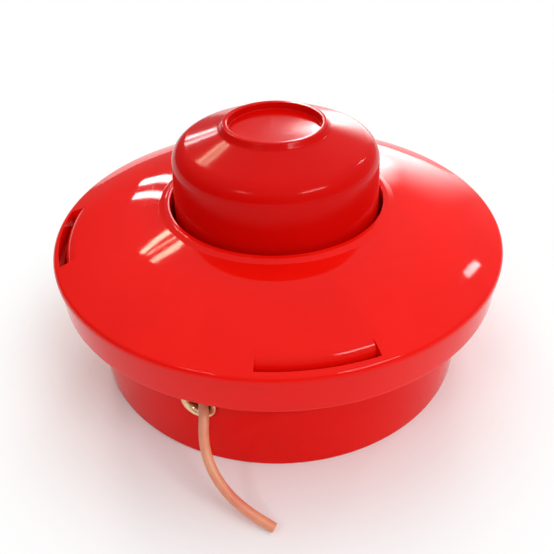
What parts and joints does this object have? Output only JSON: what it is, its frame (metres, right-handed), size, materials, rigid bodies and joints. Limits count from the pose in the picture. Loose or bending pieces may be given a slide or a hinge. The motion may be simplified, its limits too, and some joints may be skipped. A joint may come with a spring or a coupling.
{
  "type": "trimmer head",
  "caption": "Bump-feed string trimmer head: round cup housing, domed bayonet cover and sprung tap knob over a line spool, with metal line eyelets and a threaded drive insert.",
  "frame": {"origin": "centre of the foot ring's ground face, on the head's axis", "axes": "+Z along the axis from the drive side to the tap knob, -Y towards the side where the free line leaves"},
  "size_m": [0.12, 0.1312, 0.0669],
  "materials": {
    "housing_red": "glossy moulded nylon",
    "cover_red": "glossy moulded nylon",
    "knob_red": "glossy moulded nylon",
    "spool_black": "satin moulded nylon",
    "line_nylon": "smooth drawn nylon",
    "eyelet_metal": "plated, turned",
    "insert_steel": "turned and plated",
    "spring_steel": "drawn wire",
    "washer_steel": "stamped and plated"
  },
  "bodies": {
    "housing": {"housing": "housing_red", "drive_insert": "insert_steel", "front_eyelet": "eyelet_metal", "rear_eyelet": "eyelet_metal", "line_end": "line_nylon", "spring_seat": "washer_steel", "spring": "spring_steel"},
    "cover": {"cover": "cover_red"},
    "washer": {"thrust_washer": "washer_steel"},
    "spool": {"spool": "spool_black", "tap_knob": "knob_red", "lower_line_winding": "line_nylon", "upper_line_winding": "line_nylon"}
  },
  "joints": [
    {"name": "cover_twist", "type": "hinge", "parent": "housing", "child": "cover", "pos_m": [0, 0, 0.03], "axis": [0, 0, 1], "range_deg": [0, 31]},
    {"name": "tap", "type": "slide", "parent": "cover", "child": "washer", "axis": [0, 0, -1], "range_m": [0, 0.005], "stiffness_N_per_m": 1600, "springref_m": -0.006, "deforming": ["spring"]},
    {"name": "spool_turn", "type": "hinge", "parent": "washer", "child": "spool", "pos_m": [0, 0, 0.03], "axis": [0, 0, 1], "range_deg": [0, 24]}
  ]
}
